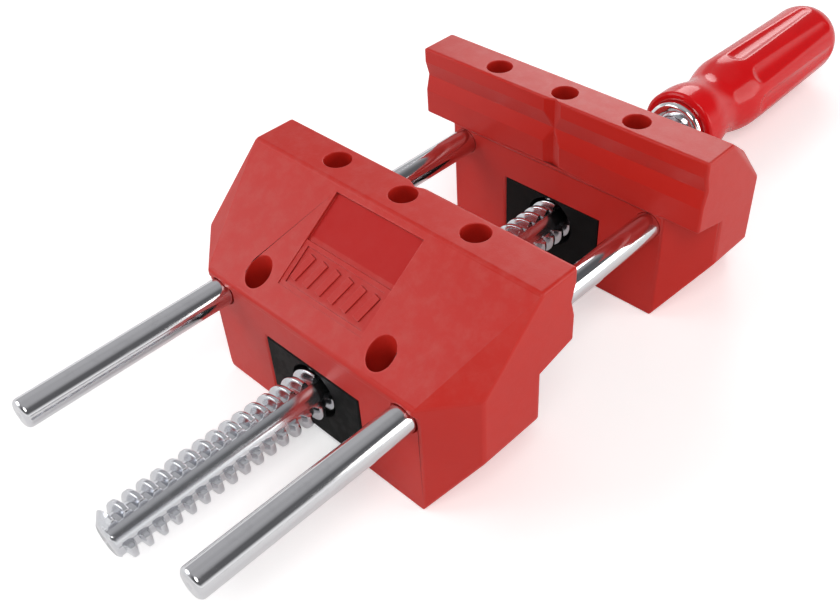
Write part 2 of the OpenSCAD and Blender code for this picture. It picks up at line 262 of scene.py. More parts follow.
def merged_copy(node, name):
    """A copy of a CAD node's mesh, its triangles joined and its flat areas made single faces."""
    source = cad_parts[node]
    mesh = source.data.copy()
    mesh.name = name
    mesh.materials.clear()
    bm = bmesh.new()
    bm.from_mesh(mesh)
    bmesh.ops.remove_doubles(bm, verts=bm.verts[:], dist=2 * JOIN)
    bmesh.ops.dissolve_degenerate(bm, edges=bm.edges[:], dist=JOIN)
    bmesh.ops.dissolve_limit(
        bm, angle_limit=math.radians(0.6), verts=bm.verts[:], edges=bm.edges[:])
    bm.to_mesh(mesh)
    bm.free()
    for layer in [a.name for a in mesh.attributes if a.name == "custom_normal"]:
        mesh.attributes.remove(mesh.attributes[layer])
    piece = bpy.data.objects.new(name, mesh)
    bpy.context.scene.collection.objects.link(piece)
    return piece


def face_width(face):
    """How wide a long face is: its area over its longest edge."""
    return face.calc_area() / max(edge.calc_length() for edge in face.edges)


def softened(piece, width_of, widest):
    """Rounds a piece's outer sharp edges and keeps its other corners crisp.

    width_of(a, b) gives the rounding wanted for the edge from a to b, in metres, and no edge gets
    more than two fifths of a sharp edge that it meets. A slight corner is crisp too, unless one
    of its faces is as narrow as a facet of a round hole."""
    mesh = piece.data
    bm = bmesh.new()
    bm.from_mesh(mesh)
    layer = bm.edges.layers.float.new("bevel_weight_edge")
    angles = {edge: edge.calc_face_angle(0.0) for edge in bm.edges if len(edge.link_faces) == 2}
    sharp = {edge for edge, turn in angles.items() if turn > SHARP_CORNER}
    for face in bm.faces:
        face.smooth = True
    for edge, turn in angles.items():
        edge.smooth = True
        if edge in sharp and edge.is_convex:
            near = [e.calc_length() for v in edge.verts for e in v.link_edges if e in sharp]
            a, b = edge.verts[0].co, edge.verts[1].co
            edge[layer] = min(width_of(a, b), EDGE_SHARE * min(near)) / widest
        elif edge in sharp:
            edge.smooth = False
        elif turn > SLIGHT_CORNER and min(map(face_width, edge.link_faces)) > HOLE_FACET:
            edge.smooth = False
    bm.to_mesh(mesh)
    bm.free()
    bevel = piece.modifiers.new("Soft edges", "BEVEL")
    bevel.limit_method = "WEIGHT"
    bevel.width = widest
    bevel.segments = 3
    bevel.use_clamp_overlap = False
    bevel.harden_normals = True


# ---------------------------------------------------------------- shader groups

def new_group(name, inputs, outputs):
    """A node group with named sockets. Inputs are (name, kind, default); outputs are (name, kind)."""
    tree = bpy.data.node_groups.new(name, "ShaderNodeTree")
    for label, kind, default in inputs:
        socket = tree.interface.new_socket(label, in_out="INPUT", socket_type=kind)
        socket.default_value = default
    for label, kind in outputs:
        tree.interface.new_socket(label, in_out="OUTPUT", socket_type=kind)
    return tree, tree.nodes.new("NodeGroupInput"), tree.nodes.new("NodeGroupOutput")


def add(tree, kind, values=None, **settings):
    """A node of that kind. values sets its sockets by name or number; settings sets its properties."""
    node = tree.nodes.new("ShaderNode" + kind)
    for key, value in settings.items():
        setattr(node, key, value)
    feed(tree, node, values or {})
    return node


def feed(tree, node, values):
    """Sets a node's inputs by name or number, each to a constant or to another node's output."""
    for key, value in values.items():
        if isinstance(value, bpy.types.NodeSocket):
            tree.links.new(value, node.inputs[key])
        else:
            node.inputs[key].default_value = value


def math_node(tree, operation, a, b=0.0):
    """The output of a Math node whose two inputs are numbers or sockets."""
    return add(tree, "Math", {0: a, 1: b}, operation=operation).outputs[0]


def product(tree, a, b):
    """a times b."""
    return math_node(tree, "MULTIPLY", a, b)


def total(tree, a, b):
    """a plus b."""
    return math_node(tree, "ADD", a, b)


def place_mm(tree):
    """Object coordinates in millimetres."""
    where = add(tree, "TexCoord")
    return add(tree, "VectorMath", {0: where.outputs["Object"], 1: (1000, 1000, 1000)},
               operation="MULTIPLY").outputs[0]


def ramp(tree, value, low, high):
    """0 below low, 1 above high, and a smooth rise between them."""
    return add(tree, "MapRange", {"Value": value, "From Min": low, "From Max": high},
               interpolation_type="SMOOTHSTEP", clamp=True).outputs[0]


def moulded_grain_group():
    """Fine spark-eroded texture of a moulding, with slow flow marks in its shade."""
    tree, given, out = new_group("Moulded grain", [
        ("Grain", "NodeSocketFloat", 2.4), ("Flow", "NodeSocketFloat", 0.09),
    ], [("Height", "NodeSocketFloat"), ("Shade", "NodeSocketFloat"), ("Polish", "NodeSocketFloat")])
    here = place_mm(tree)
    fine = add(tree, "TexNoise", {"Vector": here, "Scale": given.outputs["Grain"], "Detail": 3.0,
                                  "Roughness": 0.62})
    pits = add(tree, "TexVoronoi", {"Vector": here, "Scale": given.outputs["Grain"],
                                    "Smoothness": 0.6}, feature="SMOOTH_F1")
    slow = add(tree, "TexNoise", {"Vector": here, "Scale": given.outputs["Flow"], "Detail": 4.0,
                                  "Distortion": 0.8})
    patches = add(tree, "TexNoise", {"Vector": here, "Scale": 0.33, "Detail": 2.0})
    height = product(tree, fine.outputs[0], pits.outputs["Distance"])
    shade = raised(tree, product(tree, slow.outputs[0], 0.75), fine.outputs[0], 0.25)
    feed(tree, out, {"Height": total(tree, height, fine.outputs[0]), "Shade": shade,
                     "Polish": ramp(tree, patches.outputs[0], 0.42, 0.62)})


def edge_wear_and_highlight_group():
    """A mask of edges, for rubbed wear and for a painted edge highlight: where a rounded normal
    leaves the true one, broken up by noise."""
    tree, given, out = new_group("Rubbed edges and painted edge highlight", [
        ("Width", "NodeSocketFloat", 0.0006), ("Break-up", "NodeSocketFloat", 0.7),
    ], [("Mask", "NodeSocketFloat")])
    soft = add(tree, "Bevel", {"Radius": given.outputs["Width"]}, samples=6)
    true = add(tree, "NewGeometry")
    meet = add(tree, "VectorMath", {0: soft.outputs[0], 1: true.outputs["Normal"]},
               operation="DOT_PRODUCT")
    bent = math_node(tree, "SUBTRACT", 1.0, meet.outputs["Value"])
    noise = add(tree, "TexNoise", {"Vector": place_mm(tree), "Scale": 0.8, "Detail": 4.0})
    broken = product(tree, ramp(tree, noise.outputs[0], 0.35, 0.65), given.outputs["Break-up"])
    keep = math_node(tree, "SUBTRACT", 1.0, broken)
    feed(tree, out, {"Mask": product(tree, ramp(tree, bent, 0.015, 0.16), keep)})


def dust_group():
    """Light dust that settles on faces that look up, thinner where noise is low."""
    tree, given, out = new_group("Settled dust", [
        ("Scale", "NodeSocketFloat", 0.25),
    ], [("Mask", "NodeSocketFloat")])
    where = add(tree, "TexCoord")
    up = add(tree, "SeparateXYZ", {0: where.outputs["Normal"]})
    noise = add(tree, "TexNoise", {"Vector": place_mm(tree), "Scale": given.outputs["Scale"],
                                   "Detail": 6.0, "Roughness": 0.65})
    mask = product(tree, ramp(tree, up.outputs[2], 0.25, 1.0), ramp(tree, noise.outputs[0], 0.38, 0.75))
    feed(tree, out, {"Mask": mask})


def recess_shade_group():
    """A mask of painted shade in deep holes and narrow gaps: where close surfaces of the same piece
    shut out light.
    """
    tree, given, out = new_group("Painted recess shade", [
        ("Reach", "NodeSocketFloat", 0.007),
    ], [("Mask", "NodeSocketFloat")])
    shut = add(tree, "AmbientOcclusion", {"Distance": given.outputs["Reach"]}, only_local=True,
               samples=8)
    noise = add(tree, "TexNoise", {"Vector": place_mm(tree), "Scale": 0.6, "Detail": 3.0})
    open_part = raised(tree, shut.outputs["AO"], noise.outputs[0], 0.12)
    feed(tree, out, {"Mask": math_node(tree, "SUBTRACT", 1.0, ramp(tree, open_part, 0.12, 0.72))})


def label_field_group():
    """A mask of the panel on a slope: 1 on its smooth upper field, less on its framed lower field.
    It is on where |x| is small, z lies within the field and the surface looks up."""
    tree, given, out = new_group("Panel fields", [
        ("Half width", "NodeSocketFloat", 15.1), ("Top", "NodeSocketFloat", 56.3),
        ("Middle", "NodeSocketFloat", 48.4), ("Bottom", "NodeSocketFloat", 41.2),
    ], [("Mask", "NodeSocketFloat")])
    parts = add(tree, "SeparateXYZ", {0: place_mm(tree)}).outputs
    where = add(tree, "TexCoord")
    up = add(tree, "SeparateXYZ", {0: where.outputs["Normal"]}).outputs[2]
    across = math_node(tree, "ABSOLUTE", parts[0])
    inside = math_node(tree, "LESS_THAN", across, given.outputs["Half width"])
    inside = product(tree, inside, math_node(tree, "GREATER_THAN", up, 0.6))
    below = math_node(tree, "LESS_THAN", parts[2], given.outputs["Top"])
    upper = product(tree, below, math_node(tree, "GREATER_THAN", parts[2], given.outputs["Middle"]))
    lower = product(tree, below, math_node(tree, "GREATER_THAN", parts[2], given.outputs["Bottom"]))
    level = raised(tree, product(tree, upper, 0.65), lower, 0.35)
    feed(tree, out, {"Mask": product(tree, inside, level)})


def turned_steel_group():
    """Fine rings left by turning or grinding about Y, as height, and slow streaks along the bar."""
    tree, given, out = new_group("Ground steel", [
        ("Rings", "NodeSocketFloat", 9.0),
    ], [("Height", "NodeSocketFloat"), ("Streak", "NodeSocketFloat"), ("Stain", "NodeSocketFloat")])
    here = place_mm(tree)
    along = add(tree, "SeparateXYZ", {0: here})
    line = add(tree, "CombineXYZ", {
        0: product(tree, along.outputs[0], 0.02),
        1: product(tree, along.outputs[1], given.outputs["Rings"]),
        2: product(tree, along.outputs[2], 0.02)})
    rings = add(tree, "TexNoise", {"Vector": line.outputs[0], "Scale": 1.0, "Detail": 2.0})
    stretched = add(tree, "VectorMath", {0: here, 1: (1.6, 0.02, 1.6)}, operation="MULTIPLY")
    streak = add(tree, "TexNoise", {"Vector": stretched.outputs[0], "Scale": 1.0, "Detail": 3.0})
    spots = add(tree, "TexNoise", {"Vector": here, "Scale": 0.22, "Detail": 5.0, "Roughness": 0.7})
    feed(tree, out, {"Height": rings.outputs[0], "Streak": streak.outputs[0],
                     "Stain": ramp(tree, spots.outputs[0], 0.48, 0.72)})


def scratches_group():
    """A few fine straight scratches: the thin walls of two stretched and turned cell patterns."""
    tree, given, out = new_group("Fine scratches", [
        ("Density", "NodeSocketFloat", 0.12),
    ], [("Mask", "NodeSocketFloat")])
    here = place_mm(tree)
    masks = []
    for turn, stretch in ((0.5, (1.0, 0.10, 1.0)), (-0.9, (0.12, 1.0, 0.5))):
        turned_place = add(tree, "VectorRotate", {"Vector": here, "Angle": turn},
                           rotation_type="Z_AXIS")
        thin = add(tree, "VectorMath", {0: turned_place.outputs[0], 1: stretch}, operation="MULTIPLY")
        cells = add(tree, "TexVoronoi", {"Vector": thin.outputs[0], "Scale": given.outputs["Density"]},
                    feature="DISTANCE_TO_EDGE")
        masks.append(math_node(tree, "SUBTRACT", 1.0, ramp(tree, cells.outputs[0], 0.0, 0.012)))
    gate = add(tree, "TexNoise", {"Vector": here, "Scale": 0.15, "Detail": 1.0})
    both = math_node(tree, "MAXIMUM", masks[0], masks[1])
    feed(tree, out, {"Mask": product(tree, both, ramp(tree, gate.outputs[0], 0.5, 0.62))})


def place(tree, group, values=None):
    """Puts a shared group into a material with its own values."""
    return add(tree, "Group", values, node_tree=bpy.data.node_groups[group])


def new_material(name):
    """A material with one Principled shader. Gives its node tree and the shader."""
    material = bpy.data.materials.new(name)
    material.use_nodes = True
    tree = material.node_tree
    tree.nodes.clear()
    shader = tree.nodes.new("ShaderNodeBsdfPrincipled")
    end = tree.nodes.new("ShaderNodeOutputMaterial")
    tree.links.new(shader.outputs[0], end.inputs[0])
    return tree, shader


def mixed_colour(tree, factor, a, b):
    """The colour between a and b; each is a colour or a socket."""
    a, b = (c if isinstance(c, bpy.types.NodeSocket) else (*c, 1.0) for c in (a, b))
    return add(tree, "Mix", {0: factor, 6: a, 7: b}, data_type="RGBA", clamp_factor=True).outputs[2]


def overlaid(tree, base, mask, share, tone):
    """base, and up to share of the way to tone where the mask is 1."""
    return mixed_colour(tree, product(tree, mask, share), base, tone)


def raised(tree, value, mask, by):
    """value, and by more where the mask is 1."""
    return total(tree, value, product(tree, mask, by))


def scaled(tone, by, lift=0.0):
    """A colour made lighter or darker, and greyer by a lift."""
    return tuple(min(c * by + lift, 1.0) for c in tone)


def bumped(tree, shader, height, strength, distance):
    """Feeds a height to the shader's normal."""
    bump = add(tree, "Bump", {"Strength": strength, "Distance": distance, "Height": height})
    tree.links.new(bump.outputs[0], shader.inputs["Normal"])


def jaw_material(colours):
    """Satin red moulding: grain, flow marks, edges lightened by rubbing and a painted highlight,
    painted shade in deep recesses, a trace of dust.
    """
    tree, shader = new_material("Jaw plastic")
    red = tuple(colours.jaw_red)
    grain = place(tree, "Moulded grain", {"Grain": 2.4, "Flow": 0.05})
    edge_wear_and_highlight = place(tree, "Rubbed edges and painted edge highlight", {"Width": 0.0009, "Break-up": 0.35})
    dust = place(tree, "Settled dust", {"Scale": 0.22})
    scratch = place(tree, "Fine scratches", {"Density": 0.10})
    recess_shade = place(tree, "Painted recess shade", {"Reach": 0.007})
    base = mixed_colour(tree, grain.outputs["Shade"], scaled(red, 0.94), scaled(red, 1.06))
    # Painted edge highlight, partly rubbed wear: the edges are lightened towards a paler red.
    base = overlaid(tree, base, edge_wear_and_highlight.outputs["Mask"], 0.5, scaled(red, 1.15, 0.08))
    base = overlaid(tree, base, scratch.outputs["Mask"], 0.08, scaled(red, 1.1, 0.04))
    base = overlaid(tree, base, dust.outputs["Mask"], 0.05, tuple(colours.dust))
    field = place(tree, "Panel fields")
    # The panel's fields in a deeper red: partly their own smoother finish, partly painted shade where
    # the slope's sheen is missing.
    field_red_and_shade = (red[0] * 0.88, red[1] * 0.35, red[2] * 0.5)
    base = overlaid(tree, base, field.outputs["Mask"], 0.8, field_red_and_shade)
    # Painted shade: deep holes and narrow gaps are darkened to a tenth of the red.
    base = overlaid(tree, base, recess_shade.outputs["Mask"], 0.88, scaled(red, 0.10))
    rough = raised(tree, 0.37, grain.outputs["Polish"], 0.03)
    rough = raised(tree, rough, field.outputs["Mask"], 0.25)
    rough = raised(tree, rough, edge_wear_and_highlight.outputs["Mask"], -0.08)
    feed(tree, shader, {"Base Color": base, "Roughness": rough, "Specular IOR Level": 0.3})
    bumped(tree, shader, grain.outputs["Height"], 0.25, 0.00006)


def block_material(colours):
    """Black moulding with a slightly coarser grain and grey rubbed edges."""
    tree, shader = new_material("Block plastic")
    black = tuple(colours.block_black)
    grain = place(tree, "Moulded grain", {"Grain": 1.9, "Flow": 0.11})
    edge_wear_and_highlight = place(tree, "Rubbed edges and painted edge highlight", {"Width": 0.0005, "Break-up": 0.5})
    dust = place(tree, "Settled dust", {"Scale": 0.3})
    base = mixed_colour(tree, grain.outputs["Shade"], scaled(black, 0.8), scaled(black, 1.5))
    base = overlaid(tree, base, edge_wear_and_highlight.outputs["Mask"], 0.5, scaled(black, 2.0, 0.03))
    base = overlaid(tree, base, dust.outputs["Mask"], 0.02, tuple(colours.dust))
    rough = raised(tree, 0.42, grain.outputs["Polish"], 0.1)
    feed(tree, shader, {"Base Color": base, "Roughness": rough, "Specular IOR Level": 0.07})
    bumped(tree, shader, grain.outputs["Height"], 0.4, 0.0001)


def steel_material(name, steel, rough, rings, ring_depth, stain=0.15):
    """Bright steel: ground rings, faint streaks along the bar, and dull spots of handling."""
    tree, shader = new_material(name)
    ground = place(tree, "Ground steel", {"Rings": rings})
    edge_wear_and_highlight = place(tree, "Rubbed edges and painted edge highlight", {"Width": 0.0004, "Break-up": 0.4})
    scratch = place(tree, "Fine scratches", {"Density": 0.16})
    base = mixed_colour(tree, ground.outputs["Streak"], scaled(steel, 0.95), scaled(steel, 1.04))
    base = overlaid(tree, base, ground.outputs["Stain"], stain, scaled(steel, 0.62))
    base = overlaid(tree, base, edge_wear_and_highlight.outputs["Mask"], 0.4, scaled(steel, 1.15, 0.05))
    rough = raised(tree, rough - 0.025, ground.outputs["Streak"], 0.05)
    rough = raised(tree, rough, ground.outputs["Stain"], 0.05)
    rough = raised(tree, rough, scratch.outputs["Mask"], 0.05)
    feed(tree, shader, {"Base Color": base, "Roughness": rough, "Metallic": 1.0})
    bumped(tree, shader, ground.outputs["Height"], 0.2, ring_depth)


def bronze_material(colours):
    """Sintered bronze: dull, with open pores."""
    tree, shader = new_material("Sintered bronze")
    bronze = tuple(colours.bronze)
    pores = add(tree, "TexVoronoi", {"Vector": place_mm(tree), "Scale": 3.2})
    grain = place(tree, "Moulded grain", {"Grain": 3.0, "Flow": 0.2})
    open_pore = math_node(tree, "SUBTRACT", 1.0, ramp(tree, pores.outputs["Distance"], 0.05, 0.3))
    base = mixed_colour(tree, grain.outputs["Shade"], scaled(bronze, 0.8), scaled(bronze, 1.15))
    base = overlaid(tree, base, open_pore, 0.6, scaled(bronze, 0.3))
    rough = raised(tree, 0.40, open_pore, 0.3)
    feed(tree, shader, {"Base Color": base, "Roughness": rough, "Metallic": 1.0})
    bumped(tree, shader, pores.outputs["Distance"], 0.3, 0.0001)


def grip_material(colours):
    """Clear glossy red: deep colour under a coat, with fine handling marks in the coat's base."""
    tree, shader = new_material("Grip gloss")
    red = tuple(colours.grip_red)
    grain = place(tree, "Moulded grain", {"Grain": 0.5, "Flow": 0.05})
    edge_wear_and_highlight = place(tree, "Rubbed edges and painted edge highlight", {"Width": 0.0008, "Break-up": 0.6})
    scratch = place(tree, "Fine scratches", {"Density": 0.12})
    base = mixed_colour(tree, grain.outputs["Shade"], scaled(red, 0.85), scaled(red, 1.2))
    base = overlaid(tree, base, edge_wear_and_highlight.outputs["Mask"], 0.25, scaled(red, 1.25, 0.05))
    rough = raised(tree, 0.18, scratch.outputs["Mask"], 0.05)
    feed(tree, shader, {"Base Color": base, "Roughness": rough, "Specular IOR Level": 0.2,
                        "Coat Weight": 0.15, "Coat Roughness": 0.05})
    bumped(tree, shader, grain.outputs["Height"], 0.12, 0.00006)


# ---------------------------------------------------------------- operators

class VISE_OT_finishes(bpy.types.Operator):
    """Makes the shared shader groups and the vise's materials"""
    bl_idname = "vise.finishes"
    bl_label = "Finishes"

    def execute(self, context):
        colours = context.scene.vise_colours
        moulded_grain_group()
        edge_wear_and_highlight_group()
        dust_group()
        recess_shade_group()
        label_field_group()
        turned_steel_group()
        scratches_group()
        jaw_material(colours)
        block_material(colours)
        steel_material("Rod steel", tuple(colours.rod_steel), 0.10, 7.0, 0.00001)
        steel_material("Spindle steel", tuple(colours.spindle_steel), 0.16, 5.0, 0.00002)
        steel_material("Hardware steel", (0.60, 0.60, 0.62), 0.30, 4.0, 0.00004, 0.3)
        steel_material("Dark steel", (0.16, 0.16, 0.17), 0.35, 4.0, 0.00004, 0.3)
        steel_material("Ferrule chrome", (0.86, 0.87, 0.88), 0.08, 3.0, 0.00001, 0.06)
        bronze_material(colours)
        grip_material(colours)
        return {"FINISHED"}


class VISE_OT_jaws(bpy.types.Operator):
    """Builds both moulded jaws with rounded edges, hole rims, grooves and panel relief"""
    bl_idname = "vise.jaws"
    bl_label = "Moulded jaws"

    def execute(self, context):
        sizes = context.scene.vise_sizes
        for node, name, body, into in (
            ("front_jaw", "Sliding_jaw_moulding", SLIDING, -1),
            ("rear_jaw", "Fixed_jaw_moulding", FIXED, 1),
        ):
            low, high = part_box(node)
            face = high.y if into < 0 else low.y
            piece = merged_copy(node, name)
            softened(piece, lambda a, b: self.edge_width(a, b, face, high.z, into, sizes),
                     sizes.jaw_edge)
            piece.data.materials.append(bpy.data.materials["Jaw plastic"])
            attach(piece, body)
            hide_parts(node)
        return {"FINISHED"}

    def edge_width(self, a, b, face, top, into, sizes):
        """The rounding of the edge from a to b: least on the rim of the middle peg hole, fine in the
        panel, on the grooves and on the facets of holes, and full everywhere else."""
        span = (a - b).length
        middle = (a + b) / 2
        out = abs(middle.x)
        if out < PEG_RIM and min(a.z, b.z) > top - 0.1 * MM and span < 5 * MM:
            return RIM_EDGE
        behind = (middle.y - face) * into
        drop = (behind - TOP_DEPTH) * SLOPE_FALL
        on_slope = abs(top - middle.z - drop) < 1.2 * MM and behind > TOP_DEPTH + 0.5 * MM
        if on_slope and out < PANEL_HALF and behind < PANEL_END:
            return sizes.panel_edge
        in_face = behind < 1.5 * MM and top - FACE_DROP < middle.z < top - 0.2 * MM
        if span < RIM_FACET or in_face and out < FACE_HALF:
            return sizes.hole_edge
        return sizes.jaw_edge


class VISE_OT_blocks(bpy.types.Operator):
    """Builds the black blocks that fill the arches under both jaws"""
    bl_idname = "vise.blocks"
    bl_label = "Spindle blocks"

    def execute(self, context):
        sizes = context.scene.vise_sizes
        for node, name, body in (
            ("nut_block", "Nut_block_moulding", SLIDING),
            ("thrust_block", "Thrust_block_moulding", FIXED),
        ):
            piece = merged_copy(node, name)
            softened(piece, lambda a, b: sizes.block_edge, sizes.block_edge)
            piece.data.materials.append(bpy.data.materials["Block plastic"])
            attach(piece, body)
            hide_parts(node)
        return {"FINISHED"}


class VISE_OT_guide_rods(bpy.types.Operator):
    """Builds the two ground guide rods with a rounded front end and a small turned centre"""
    bl_idname = "vise.guide_rods"
    bl_label = "Guide rods"

    def execute(self, context):
        for side in ("left", "right"):
            low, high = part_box(f"guide_rod_{side}")
            r = (high.x - low.x) / 2
            centre = ((low.x + high.x) / 2, (low.z + high.z) / 2)
            front, back = low.y, high.y
            corners = [
                (front + 0.7 * MM, 0.0, 0), (front + 0.1 * MM, 0.7 * MM, 0.15 * MM),
                (front, 1.0 * MM, 0.2 * MM), (front, r - 0.8 * MM, 0.5 * MM),
                (front + 0.8 * MM, r, 0.5 * MM),
                (back - 0.5 * MM, r, 0.3 * MM), (back, r - 0.5 * MM, 0.3 * MM), (back, 0.0, 0),
            ]
            piece = turned(f"Guide_rod_bar_{side}", corners, centre, FIXED,
                           bpy.data.materials["Rod steel"], columns=96)
            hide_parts(f"guide_rod_{side}")
        return {"FINISHED"}


class VISE_OT_spindle(bpy.types.Operator):
    """Builds the spindle: a right-handed thread with two smooth flutes, a journal and a tang"""
    bl_idname = "vise.spindle"
    bl_label = "Spindle"

    def execute(self, context):
        sizes = context.scene.vise_sizes
        low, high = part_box("spindle")
        r = (high.x - low.x) / 2
        cz = (low.z + high.z) / 2
        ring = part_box("retaining_ring")
        shoulder = ring[0].y - 1.9 * MM
        points, faces = self.thread(low.y, shoulder, r, cz, sizes)
        piece = mesh_piece("Spindle_thread", points, faces, TURNING)
        bm = bmesh.new()
        bm.from_mesh(piece.data)
        bmesh.ops.remove_doubles(bm, verts=bm.verts[:], dist=JOIN)
        bmesh.ops.dissolve_degenerate(bm, edges=bm.edges[:], dist=JOIN)
        bmesh.ops.recalc_face_normals(bm, faces=bm.faces[:])
        bm.to_mesh(piece.data)
        bm.free()
        piece.data.shade_smooth()
        piece.data.set_sharp_from_angle(angle=THREAD_CREASE)
        piece.data.materials.append(bpy.data.materials["Spindle steel"])
        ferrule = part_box("ferrule")[0].y
        journal, neck, tang = 6 * MM, 5.3 * MM, 5 * MM
        corners = [
            (shoulder - 0.5 * MM, 0.0, 0), (shoulder - 0.5 * MM, journal, 0),
            (ring[0].y, journal, 0.2 * MM), (ring[0].y, neck, 0.1 * MM),
            (ring[1].y, neck, 0.1 * MM), (ring[1].y, journal, 0.2 * MM),
            (ferrule, journal, 0.3 * MM), (ferrule, tang, 0.1 * MM),
            (high.y, tang, 0.4 * MM), (high.y, 0.0, 0),
        ]
        shank = turned("Spindle_shank", corners, (0.0, cz), TURNING,
                       bpy.data.materials["Spindle steel"])
        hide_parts("spindle")
        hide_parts("spindle")
        return {"FINISHED"}

    def thread(self, start, end, r, cz, sizes):
        """A threaded bar with two smooth flutes.

        Row s and column a lie at y = start + s + pitch * a / (2 pi), held between start and end,
        so a row follows the helix. The radius is the root plus the depth times a rounded
        trapezoid of the phase (y - start) / pitch - a / (2 pi). A flute holds the radius to its
        land, and w w (3 - 2 w) of the way from there to r, where w runs from 0 to 1 over the four
        degrees outside the flute. The tip's chamfer holds the radius under a cone."""
        p, depth, land = sizes.pitch, sizes.thread_depth, sizes.spindle_land
        flank, tooth_end = 0.22, 0.72
        tip, cone, back_end = 4.4 * MM, 1.3, 5 * MM
        wide = math.degrees(sizes.spindle_flute_half)
        phase = np.array([0.0, 0.035, 0.10, 0.16, 0.205, 0.245, 0.36, 0.475, 0.515, 0.56, 0.62, 0.685,
                          0.72, 0.86])
        per = len(phase)
        half = np.radians(np.concatenate([
            np.linspace(-90, -wide - 5, 12, endpoint=False),
            np.linspace(-wide - 5, -wide + 1, 6, endpoint=False),
            np.linspace(-wide + 1, wide - 1, 10, endpoint=False),
            np.linspace(wide - 1, wide + 5, 6, endpoint=False),
            np.linspace(wide + 5, 90, 12, endpoint=False)]))
        a = np.concatenate([half, half + math.pi]) + sizes.spindle_flute_angle
        turns = math.ceil((end - start) / p) + 2
        s = ((np.arange(-1, turns)[:, None] + phase[None]) * p).ravel()
        lead = p * (a - a[0]) / (2 * math.pi)
        y = np.clip(start + s[:, None] + lead[None], start, end)
        u = np.mod((y - start - lead[None]) / p, 1.0)
        rise = np.clip(np.minimum(u / flank, (tooth_end - u) / flank), 0, 1)
        tooth = rise * rise * (3 - 2 * rise) * 0.35 + rise * 0.65
        root = r - depth
        radius = root + depth * tooth
        turn = np.mod(a - sizes.spindle_flute_angle + math.pi / 2, math.pi) - math.pi / 2
        wall = np.clip((np.degrees(np.abs(turn)) - wide) / 4, 0, 1)
        radius = np.minimum(radius, (land + (r - land) * wall * wall * (3 - 2 * wall))[None])
        radius = np.minimum(radius, tip + (y - start) * cone)
        radius = np.where(y >= end - 1e-9, np.minimum(radius, back_end), radius)
        grid = np.stack([radius * np.sin(a)[None], y, cz + radius * np.cos(a)[None]], -1)
        rows, columns = y.shape
        i = np.arange(rows - 1)[:, None] * columns
        j = np.arange(columns - 1)[None]
        faces = np.stack([i + j, i + j + 1, i + columns + j + 1, i + columns + j], -1).reshape(-1, 4)
        k = np.arange(rows - 1 - per)
        last = columns - 1
        seam = np.stack([k * columns + last, (k + per) * columns, (k + per + 1) * columns,
                         (k + 1) * columns + last], -1)
        points = grid.reshape(-1, 3)
        ends = np.array([[0.0, start, cz], [0.0, end, cz]])
        n = len(points)
        j = np.arange(columns)
        after = (j + 1) % columns
        base = (rows - 1) * columns
        front = np.stack([after, j, np.full(columns, n)], -1)
        back = np.stack([base + j, base + after, np.full(columns, n + 1)], -1)
        return np.vstack([points, ends]), (
            faces.tolist() + seam.tolist() + front.tolist() + back.tolist())


